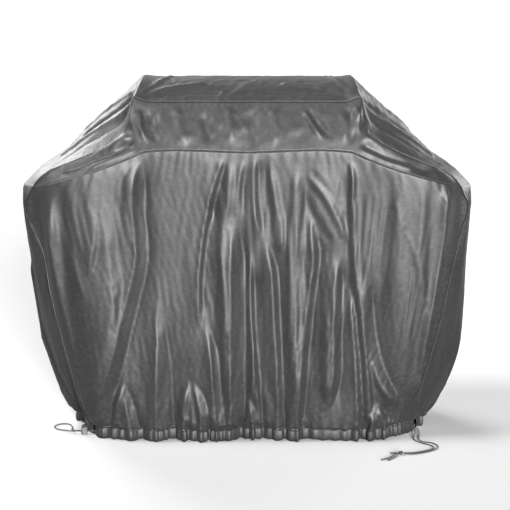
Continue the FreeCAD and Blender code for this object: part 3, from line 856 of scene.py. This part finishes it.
def hem_channel(name, path, seed):
    """The gathered channel: a soft folded tube of cloth under the hem line."""
    out = level_normals(path)
    run = lengths(path)
    gathers = pucker_wave(run, 0.017, seed)
    slow = pucker_wave(run, 0.043, seed + 1)
    section = np.array(CHANNEL)
    bulge = np.array(BULGE)
    rise = np.array([0, 0, 0, 0, 0, 0.6, 1.0, 1.0, 1.0, 0.4, 0, 0, 0, 0]) * 0.0022
    away = section[None, :, 0] + bulge[None] * (0.0008 * gathers[:, None] + 0.0009 * slow[:, None])
    height = section[None, :, 1] + rise[None] * (0.5 + 0.5 * slow[:, None])
    p = path[:, None] + out[:, None] * away[..., None]
    p[..., 2] = np.maximum(height + 0.5 * (path[:, None, 2] - HEM_TOP), 0.0006)
    around = lengths(np.concatenate([section, section[:1]], axis=0))[:-1]
    uv = np.stack([np.repeat(run, len(CHANNEL)), np.tile(around, len(path))], axis=1)
    piece = put_mesh(name, p, quads(len(path), len(CHANNEL), close=True).tolist(), uv)
    select(piece)
    wall = piece.modifiers.new("wall", "SOLIDIFY")
    wall.thickness = CLOTH
    wall.offset = -1.0
    bpy.ops.object.modifier_apply(modifier="wall")
    cut = (round(float(run[-1]) * 1.12, 3), round(float(around[-1]) + 0.005, 3))
    return piece, cut


def stitches(name, path, normal, pitch=0.0048, long=0.0034, thick=0.00045):
    """A row of stitches: one low ridge for each, sunk a little into the cloth."""
    run = lengths(path)
    centres = np.arange(pitch, run[-1] - pitch, pitch)
    c, n = read_at(centres, run, path), read_at(centres, run, normal)
    way = read_at(centres + 0.001, run, path) - c
    way /= np.linalg.norm(way, axis=1, keepdims=True)
    n -= way * (n * way).sum(1, keepdims=True)
    n /= np.linalg.norm(n, axis=1, keepdims=True)
    side = np.cross(way, n)
    ends = (np.array([-0.5, -0.32, 0.32, 0.5]) * long)[None, :, None, None]
    fat = (np.array([0.35, 1.0, 1.0, 0.35]) * thick)[None, :, None, None]
    angle = np.linspace(0.0, 2 * np.pi, 6, endpoint=False)[None, None, :, None]
    c, n, way, side = (each[:, None, None] for each in (c, n, way, side))
    p = c + way * ends + (side * np.cos(angle) + n * np.sin(angle)) * fat
    stitch = quads(4, 6, close=True).tolist() + [[5, 4, 3, 2, 1, 0], [18, 19, 20, 21, 22, 23]]
    faces = [[i + 24 * k for i in face] for k in range(len(centres)) for face in stitch]
    piece = put_mesh(name, p, faces)
    select(piece)
    bpy.ops.object.mode_set(mode="EDIT")
    bpy.ops.mesh.select_all(action="SELECT")
    bpy.ops.mesh.normals_make_consistent(inside=False)
    bpy.ops.object.mode_set(mode="OBJECT")
    return piece


# ---- finishes ----
class Finish:
    """A new material with its shader and a few helpers for wiring nodes."""

    def __init__(self, name):
        self.material = bpy.data.materials.new(name)
        self.material.use_nodes = True
        self.nodes = self.material.node_tree.nodes
        self.links = self.material.node_tree.links
        self.shader = self.nodes["Principled BSDF"]

    def node(self, kind, **values):
        new = self.nodes.new(kind)
        for key, value in values.items():
            if hasattr(new, key):
                setattr(new, key, value)
            else:
                new.inputs[key].default_value = value
        return new

    def join(self, out, into):
        self.links.new(out, into)

    def place(self, kind):
        return self.node("ShaderNodeTexCoord").outputs[kind]

    def texture(self, kind, place, **values):
        """A texture read at a place on the object."""
        new = self.node("ShaderNodeTex" + kind, **values)
        self.join(place, new.inputs["Vector"])
        return new

    def mix(self, blend, share, a, b):
        new = self.node("ShaderNodeMix", data_type="RGBA", blend_type=blend)
        new.inputs["Factor"].default_value = share
        self.join(a, new.inputs["A"])
        self.join(b, new.inputs["B"])
        return new.outputs["Result"]

    def wire(self, **values):
        """Gives inputs of the shader, named with _ for a space, a number or a node's output."""
        for key, value in values.items():
            into = self.shader.inputs[key.replace("_", " ")]
            if isinstance(value, bpy.types.NodeSocket):
                self.join(value, into)
            else:
                into.default_value = value
        return self.material

    def ramp(self, source, stops):
        ramp = self.node("ShaderNodeValToRGB")
        bar = ramp.color_ramp
        while len(bar.elements) < len(stops):
            bar.elements.new(0.5)
        for element, (at, shade) in zip(bar.elements, stops):
            element.position = at
            element.color = (*shade, 1.0)
        self.join(source, ramp.inputs["Fac"])
        return ramp.outputs["Color"]

    def bump(self, height, strength, distance, before=None):
        bump = self.node("ShaderNodeBump", Strength=strength, Distance=distance)
        self.join(height, bump.inputs["Height"])
        if before is not None:
            self.join(before, bump.inputs["Normal"])
        return bump.outputs["Normal"]


def coated_cloth(name, dark, light, rough=(0.47, 0.56)):
    """Thin coated polyester: plain weave, fine crumples, soft gloss, slight scuffing."""
    finish = Finish(name)
    uv, spot = finish.place("UV"), finish.place("Object")
    cloudy = finish.texture("Noise", spot, Scale=5.0, Detail=4.0, Roughness=0.6).outputs["Fac"]
    shade = finish.ramp(cloudy, [(0.30, dark), (0.72, light)])
    scuff = finish.texture("Noise", uv, Scale=90.0, Detail=3.0, Roughness=0.7)
    dusty = finish.ramp(scuff.outputs["Fac"], [(0.50, (0.0,) * 3), (0.80, (0.35,) * 3)])
    worn = finish.mix("SCREEN", 0.10, shade, dusty)
    warp, weft = (finish.texture("Wave", uv, wave_type="BANDS", bands_direction=way, Scale=230.0,
                                 Distortion=0.4).outputs["Color"] for way in "XY")
    weave = finish.mix("MULTIPLY", 1.0, warp, weft)
    threads = finish.mix("MULTIPLY", 0.16, worn, weave)
    crumple = finish.texture("Noise", spot, Scale=34.0, Detail=5.0, Roughness=0.55, Distortion=0.6)
    bent = finish.node("ShaderNodeMix", data_type="VECTOR")
    bent.inputs["Factor"].default_value = 0.06
    finish.join(spot, bent.inputs["A"])
    finish.join(crumple.outputs["Color"], bent.inputs["B"])
    crease = finish.texture("Voronoi", bent.outputs["Result"], feature="DISTANCE_TO_EDGE",
                            Scale=26.0)
    soft = finish.ramp(crease.outputs["Distance"], [(0.0, (0.0,) * 3), (0.16, (1.0,) * 3)])
    normal = finish.bump(crumple.outputs["Fac"], 0.35, 0.0012)
    normal = finish.bump(soft, 0.22, 0.0004, normal)
    normal = finish.bump(weave, 0.25, 0.00012, normal)
    gloss = finish.node("ShaderNodeMapRange")
    gloss.inputs["To Min"].default_value, gloss.inputs["To Max"].default_value = rough
    finish.join(cloudy, gloss.inputs["Value"])
    return finish.wire(Base_Color=threads, Normal=normal, Roughness=gloss.outputs["Result"],
                       Specular_IOR_Level=0.9, Sheen_Weight=0.05, Sheen_Roughness=0.5,
                       Coat_Weight=0.25, Coat_Roughness=0.48)


def braided_cord(name, dark, light):
    """Round braided string: slanting strands of two shades with a matt finish."""
    finish = Finish(name)
    spot = finish.place("Object")
    strand = finish.texture("Wave", spot, wave_type="BANDS", bands_direction="DIAGONAL",
                            Scale=260.0, Distortion=1.2, Detail=1.0).outputs["Fac"]
    fuzz = finish.texture("Noise", spot, Scale=900.0, Detail=2.0).outputs["Fac"]
    normal = finish.bump(fuzz, 0.4, 0.0002, finish.bump(strand, 0.8, 0.0006))
    return finish.wire(Base_Color=finish.ramp(strand, [(0.15, dark), (0.85, light)]),
                       Normal=normal, Roughness=0.72, Sheen_Weight=0.3)


def moulded(name, dark, light, rough):
    """Moulded plastic with a fine grain and rubbed places."""
    finish = Finish(name)
    spot = finish.place("Object")
    grain = finish.texture("Noise", spot, Scale=1500.0, Detail=2.0).outputs["Fac"]
    rubbed = finish.texture("Noise", spot, Scale=160.0, Detail=3.0).outputs["Fac"]
    gloss = finish.ramp(rubbed, [(0.3, (rough,) * 3), (0.7, (rough - 0.12,) * 3)])
    return finish.wire(Base_Color=finish.ramp(rubbed, [(0.35, dark), (0.70, light)]),
                       Roughness=gloss, Normal=finish.bump(grain, 0.35, 0.0001))


def spring_wire(name):
    finish = Finish(name)
    drawn = finish.texture("Noise", finish.place("Object"), Scale=700.0, Detail=3.0).outputs["Fac"]
    shade = finish.ramp(drawn, [(0.3, (0.42, 0.42, 0.44)), (0.7, (0.62, 0.62, 0.64))])
    return finish.wire(Base_Color=shade, Normal=finish.bump(drawn, 0.2, 0.0001), Metallic=1.0,
                       Roughness=0.32)


def paint(piece, material):
    piece.data.materials.clear()
    piece.data.materials.append(material)


# ---- cover ----
def part_of_cover(piece, material, slot_name, *nodes):
    paint(piece, material)
    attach(piece, "cover")
    if nodes:
        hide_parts(*nodes)


def shaped_cover():
    """The grids of the cover, and the place and normal of every point once it has its folds."""
    grids = build_base()
    ring, move = folded_lower(grids)
    points = grids.points.copy()
    points[ring] += move
    points = small_creases(grids, ring, points)
    points = seam_puckers(grids, points)
    # The back stands off the frame no further than its hem allows.
    limit, give = 0.300, 0.026
    over = points[:, 1] - limit
    points[:, 1] = np.where(over > 0.0, limit + give * np.tanh(over / give), points[:, 1])
    return grids, ring, points, grids.normals(points)


def sew_panels(grids, points, normal, cloth):
    """The seven panels; returns their welded numbers by name."""
    panels = {"top_panel": ("top", grids.part["top"]),
              "left_side_panel": ("left_end", grids.part["left_end"]),
              "right_side_panel": ("right_end", grids.part["right_end"])}
    for face in ("front", "back"):
        panels[face + "_skirt_panel"] = (face + "_skirt", grids.part[face + "_skirt"])
    for face in ("front", "back"):
        left, hood, right = (grids.part[face + "_yoke_" + wing] for wing in ("left", "hood", "right"))
        panels[face + "_yoke_panel"] = (face + "_yoke_hood",
                                        np.concatenate([left, hood[:, 1:], right[:, 1:]], axis=1))
    for name, (grid, index) in panels.items():
        piece, flat, area = cloth_piece(name + "_cloth", points[index], normal[index],
                                        grids.turn[grid])
        part_of_cover(piece, cloth, "cover_cloth", name)
    return {name: index for name, (_, index) in panels.items()}


def sew_row(name, line, points, normal, thread):
    """Stitches along a line of welded points."""
    row = stitches(name, points[line] + normal[line] * 0.0001, normal[line])
    part_of_cover(row, thread, "piping_cloth")


def pipe_seams(grids, panels, points, normal, bound, thread):
    """Piping and its stitching follow the two long seams from hem to hem."""
    left_end, right_end = grids.part["left_end"], grids.part["right_end"]
    for face, beside, name in ((0, 1, "front"), (-1, -2, "back")):
        seam = np.concatenate([left_end[::-1, face], grids.part["top"][face, 1:-1],
                               right_end[:, face]])
        p, n = points[seam], normal[seam]
        n = (n + np.roll(n, 1, axis=0) + np.roll(n, -1, axis=0)) / 3.0
        raised = through(p + n * 0.0012, np.arange(len(p)), np.arange(0, len(p) - 0.9, 0.5))
        raised[:, 2] = np.maximum(raised[:, 2], 0.003)
        piping = tube(name + "_piping_cord", raised, 0.0023)
        part_of_cover(piping, bound, "piping_cloth", name + "_piping")
        sew_row(name + "_piping_stitches_left", left_end[::-1, beside], points, normal, thread)
        sew_row(name + "_piping_stitches_right", right_end[:, beside], points, normal, thread)
        sew_row(name + "_yoke_stitches", panels[name + "_yoke_panel"][-2], points, normal, thread)


def sew_hem(loop, dull_painted_shade, string, thread):
    """Drawstring channel in two lengths, with the string inside."""
    run = lengths(np.concatenate([loop, loop[:1]]))
    right_seam, whole = run[FRONT_COLS], run[-1]
    halves = (("front", 0.050, right_seam + 0.012, 71, LEFT_LOOP[-1], RIGHT_INNER[0]),
              ("rear", right_seam + 0.042, whole + 0.020, 75, RIGHT_OUTER[0], LEFT_LOOP[0]))
    for name, start, end, seed, first, last in halves:
        path = hem_path(loop, start, end)
        channel, cut = hem_channel(name + "_hem_channel", path, seed)
        part_of_cover(channel, dull_painted_shade, "casing_cloth", name + "_hem_casing")
        out = level_normals(path)
        inside = path[4:-4:4] - out[4:-4:4] * 0.006
        inside[:, 2] = 0.012
        inner = np.concatenate([[first], inside[1:-1], [last]])
        knots = lengths(inner)
        line = through(inner, knots, np.linspace(0, knots[-1], len(inner) * 2))
        held = tube(name + "_string_inside", line, CORD_D / 2.0, 8)
        part_of_cover(held, string, "drawstring", name + "_drawstring_run")
        raised = path + out * 0.0030
        raised[:, 2] = path[:, 2] - 0.0035
        part_of_cover(stitches(name + "_hem_stitches", raised, out), thread, "casing_cloth")


def build_cover(string):
    cloth = coated_cloth("cover cloth", (0.022, 0.0228, 0.024), (0.037, 0.038, 0.040))
    # Painted shade: the channel is the cover's own cloth given a darker colour, so the hem band looks less
    # lit than its shape makes it. It is also rougher.
    dull_painted_shade = coated_cloth("channel cloth", (0.016, 0.0166, 0.0175), (0.029, 0.030, 0.0315),
                        (0.52, 0.64))
    bound = coated_cloth("piping cloth", (0.014, 0.014, 0.015), (0.032, 0.032, 0.034), (0.45, 0.58))
    thread = braided_cord("sewing thread", (0.030, 0.030, 0.032), (0.070, 0.070, 0.074))
    grids, ring, points, normal = shaped_cover()
    panels = sew_panels(grids, points, normal, cloth)
    pipe_seams(grids, panels, points, normal, bound, thread)
    sew_hem(points[ring[-1]], dull_painted_shade, string, thread)


# ---- loose ends of the drawstring ----
LEFT_LOOP = [(-0.4920, -0.2014, 0.0120), (-0.5120, -0.2016, 0.0121), (-0.5530, -0.2014, 0.0120),
             (-0.5670, -0.1860, 0.0070), (-0.5690, -0.1600, 0.0030), (-0.5700, -0.1320, 0.0022),
             (-0.5840, -0.1040, 0.0022), (-0.6120, -0.1010, 0.0022), (-0.6320, -0.1230, 0.0022),
             (-0.6260, -0.1520, 0.0022), (-0.6010, -0.1680, 0.0022), (-0.5830, -0.1750, 0.0035),
             (-0.5730, -0.1960, 0.0085), (-0.5530, -0.2062, 0.0120), (-0.5120, -0.2060, 0.0121),
             (-0.4900, -0.2058, 0.0120)]
RIGHT_OUTER = [(0.5410, -0.1610, 0.0120), (0.5510, -0.1720, 0.0105), (0.5560, -0.2000, 0.0050),
               (0.5510, -0.2330, 0.0026), (0.5440, -0.2620, 0.0022), (0.5560, -0.2860, 0.0022),
               (0.5840, -0.2920, 0.0022), (0.6020, -0.3200, 0.0022), (0.5920, -0.3540, 0.0022),
               (0.5600, -0.3800, 0.0022), (0.5240, -0.3970, 0.0023), (0.4980, -0.4010, 0.0030),
               (0.4840, -0.4040, 0.0050)]
RIGHT_INNER = [(0.5370, -0.1680, 0.0120), (0.5450, -0.1830, 0.0105), (0.5400, -0.2110, 0.0050),
               (0.5310, -0.2400, 0.0026), (0.5320, -0.2680, 0.0022), (0.5480, -0.2950, 0.0022),
               (0.5720, -0.3110, 0.0022), (0.5860, -0.3310, 0.0022), (0.5780, -0.3530, 0.0022),
               (0.5520, -0.3710, 0.0022), (0.5200, -0.3870, 0.0023), (0.4980, -0.3920, 0.0030),
               (0.4840, -0.3970, 0.0050)]
UPPER_END = [(0.4630, -0.3960, 0.0050), (0.4540, -0.3915, 0.0030), (0.4430, -0.3910, 0.0022)]
LONG_END = [(0.4630, -0.4020, 0.0050), (0.4490, -0.4140, 0.0026), (0.4310, -0.4380, 0.0022),
            (0.4090, -0.4520, 0.0022)]
SHORT_END = [(0.4660, -0.4085, 0.0050), (0.4590, -0.4200, 0.0026), (0.4460, -0.4410, 0.0022),
             (0.4290, -0.4560, 0.0022)]
KNOT_AT = (0.4735, -0.4010, 0.0070)
KNOT_TURNS = [(-0.0075, 0.0030, -0.0015), (-0.0025, -0.0060, 0.0020), (0.0055, -0.0045, 0.0010),
              (0.0070, 0.0030, -0.0022), (0.0005, 0.0062, 0.0012), (-0.0058, 0.0010, 0.0026),
              (-0.0040, -0.0052, -0.0020), (0.0030, -0.0025, -0.0024), (0.0062, 0.0020, 0.0022),
              (0.0010, 0.0045, 0.0026), (-0.0050, 0.0045, -0.0024)]


def string_curve(name, route, thick=CORD_D, closed=False):
    """A round string along a NURBS spline."""
    curve = bpy.data.curves.new(name, "CURVE")
    curve.dimensions = "3D"
    spline = curve.splines.new("NURBS")
    spline.points.add(len(route) - 1)
    for point, at in zip(spline.points, route):
        point.co = (*at, 1.0)
    spline.order_u = 3
    if closed:
        spline.use_cyclic_u = True
    else:
        spline.use_endpoint_u = True
    curve.resolution_u = 10
    curve.bevel_depth = thick / 2.0
    curve.bevel_resolution = 3
    curve.use_fill_caps = True
    return linked(name, curve)


def loose_string(name, route, string, node):
    """A string on the cover."""
    piece = string_curve(name, route)
    part_of_cover(piece, string, "drawstring", node)
    return piece


def tie_knot(string):
    """An overhand knot tied in both strands together."""
    route = [tuple(np.array(KNOT_AT) + np.array(t)) for t in KNOT_TURNS]
    curve = string_curve("knot_turns", route, 0.0052, closed=True)
    bpy.context.view_layer.update()
    mesh = bpy.data.meshes.new_from_object(curve)
    piece = linked("drawstring_knot_turns", mesh)
    bpy.data.objects.remove(curve)
    mesh.shade_smooth()
    part_of_cover(piece, string, "drawstring", "drawstring_knot")
    return piece


def build_strings(string):
    loose_string("left_loop_string", LEFT_LOOP, string, "left_loop_cord")
    knot = tie_knot(string)
    upper = loose_string("upper_tail", UPPER_END, string, "upper_cord_end")
    loose_string("long_tail", LONG_END, string, "long_cord_end")
    loose_string("short_tail", SHORT_END, string, "short_cord_end")
    loose_string("right_outer_string", RIGHT_OUTER, string, "right_outer_strand")
    loose_string("right_inner_string", RIGHT_INNER, string, "right_inner_strand")


def wind_spring():
    """Steel spring under the button, which shortens as the button goes down."""
    low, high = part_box("cord_lock_spring")
    wire = 0.0003
    turns = 3.5
    radius = (high[0] - low[0]) / 2 - wire
    rise = high[2] - low[2] - 2 * wire
    bpy.ops.object.select_all(action="DESELECT")
    bpy.ops.mesh.primitive_circle_add(vertices=10, radius=wire, location=(radius, 0.0, 0.0),
                                      rotation=(np.pi / 2, 0.0, 0.0))
    spring = bpy.context.object
    spring.name = "lock_spring"
    bpy.ops.object.transform_apply(location=True, rotation=True, scale=True)
    screw = spring.modifiers.new("turns", "SCREW")
    screw.angle = turns * 2 * np.pi
    screw.screw_offset = rise
    screw.steps = screw.render_steps = round(turns * 28)
    bpy.ops.object.modifier_apply(modifier=screw.name)
    bpy.ops.object.mode_set(mode="EDIT")
    bpy.ops.mesh.select_all(action="SELECT")
    bpy.ops.mesh.remove_doubles(threshold=1e-6)
    bpy.ops.mesh.fill_holes(sides=0)
    bpy.ops.mesh.normals_make_consistent(inside=False)
    bpy.ops.object.mode_set(mode="OBJECT")
    middle = ((low[0] + high[0]) / 2, (low[1] + high[1]) / 2, low[2] + wire)
    bpy.ops.transform.translate(value=middle)
    bpy.ops.object.transform_apply(location=True, rotation=True, scale=True)
    bpy.ops.object.shade_smooth()
    paint(spring, spring_wire("lock spring"))
    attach(spring, "cord_lock")
    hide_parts("cord_lock_spring")
    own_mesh(spring)


def finish_cord_lock():
    """Better finishes for the moulded cord lock at the left front corner."""
    barrel = moulded("lock barrel", (0.16, 0.16, 0.165), (0.26, 0.26, 0.27), 0.48)
    button = moulded("lock button", (0.035, 0.035, 0.037), (0.070, 0.070, 0.073), 0.42)
    paint(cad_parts["cord_lock_barrel"], barrel)
    paint(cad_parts["cord_lock_button"], button)
    wind_spring()


# ---- floor, light and camera ----
def seen_by_camera(tree, others, seen, end):
    """What the camera sees directly, and what every other ray meets."""
    ray = tree.nodes.new("ShaderNodeLightPath")
    choose = tree.nodes.new("ShaderNodeMixShader")
    tree.links.new(ray.outputs["Is Camera Ray"], choose.inputs[0])
    tree.links.new(others, choose.inputs[1])
    tree.links.new(seen, choose.inputs[2])
    tree.links.new(choose.outputs["Shader"], end.inputs["Surface"])


def set_floor():
    """A white floor that throws little light back up at the cloth."""
    bpy.ops.object.select_all(action="DESELECT")
    bpy.ops.mesh.primitive_plane_add(size=60.0, location=(0.0, 0.0, -0.0005))
    floor = bpy.context.object
    floor.name = "studio_floor"
    finish = Finish("studio floor")
    finish.wire(Base_Color=(0.93, 0.93, 0.93, 1.0), Roughness=0.9, Specular_IOR_Level=0.1)
    absorbing = finish.node("ShaderNodeBsdfDiffuse", Color=(0.12, 0.12, 0.12, 1.0))
    seen_by_camera(finish.material.node_tree, absorbing.outputs["BSDF"],
                   finish.shader.outputs["BSDF"], finish.nodes["Material Output"])
    paint(floor, finish.material)


def set_world(strength=0.07, seen_strength=1.05):
    world = bpy.data.worlds.new("studio")
    world.use_nodes = True
    tree = world.node_tree
    background, seen = tree.nodes["Background"], tree.nodes.new("ShaderNodeBackground")
    for each, value in ((background, strength), (seen, seen_strength)):
        each.inputs["Color"].default_value = (1.0, 1.0, 1.0, 1.0)
        each.inputs["Strength"].default_value = value
    seen_by_camera(tree, background.outputs[0], seen.outputs[0], tree.nodes["World Output"])
    bpy.context.scene.world = world


def sun(name, azimuth, elevation, strength, spread):
    """Light from azimuth degrees left of the front, at an elevation."""
    light = bpy.data.lights.new(name, "SUN")
    light.energy = strength
    light.angle = math.radians(spread)
    lamp = linked(name, light)
    turn, rise = math.radians(azimuth), math.radians(elevation)
    way = Vector((math.sin(turn) * math.cos(rise), math.cos(turn) * math.cos(rise), -math.sin(rise)))
    lamp.rotation_euler = way.to_track_quat("-Z", "Y").to_euler()


def set_lights():
    sun("front softbox", -14.0, 12.0, 5.6, 18.0)
    sun("left softbox", 76.0, 54.0, 1.7, 24.0)
    sun("back left softbox", 150.0, 27.0, 2.0, 30.0)
    sun("back right fill", 222.0, 8.0, 1.2, 30.0)


def set_camera():
    """From the front, a little above, from four and a half metres away."""
    away, height = 4.5, math.radians(11.0)
    lens = bpy.data.cameras.new("camera")
    lens.lens = 96.5
    lens.sensor_width = 36.0
    lens.shift_x = 0.0157
    lens.shift_y = -0.0065
    camera = linked("camera", lens)
    camera.location = (0.0, -away * math.cos(height), 0.56 + away * math.sin(height))
    camera.rotation_euler = (math.pi / 2.0 - height, 0.0, 0.0)
    bpy.context.scene.camera = camera


bpy.context.scene.view_settings.view_transform = "Standard"
string = braided_cord("drawstring", (0.030, 0.030, 0.032), (0.075, 0.075, 0.078))
build_cover(string)
build_strings(string)
finish_cord_lock()
set_floor()
set_world()
set_lights()
set_camera()
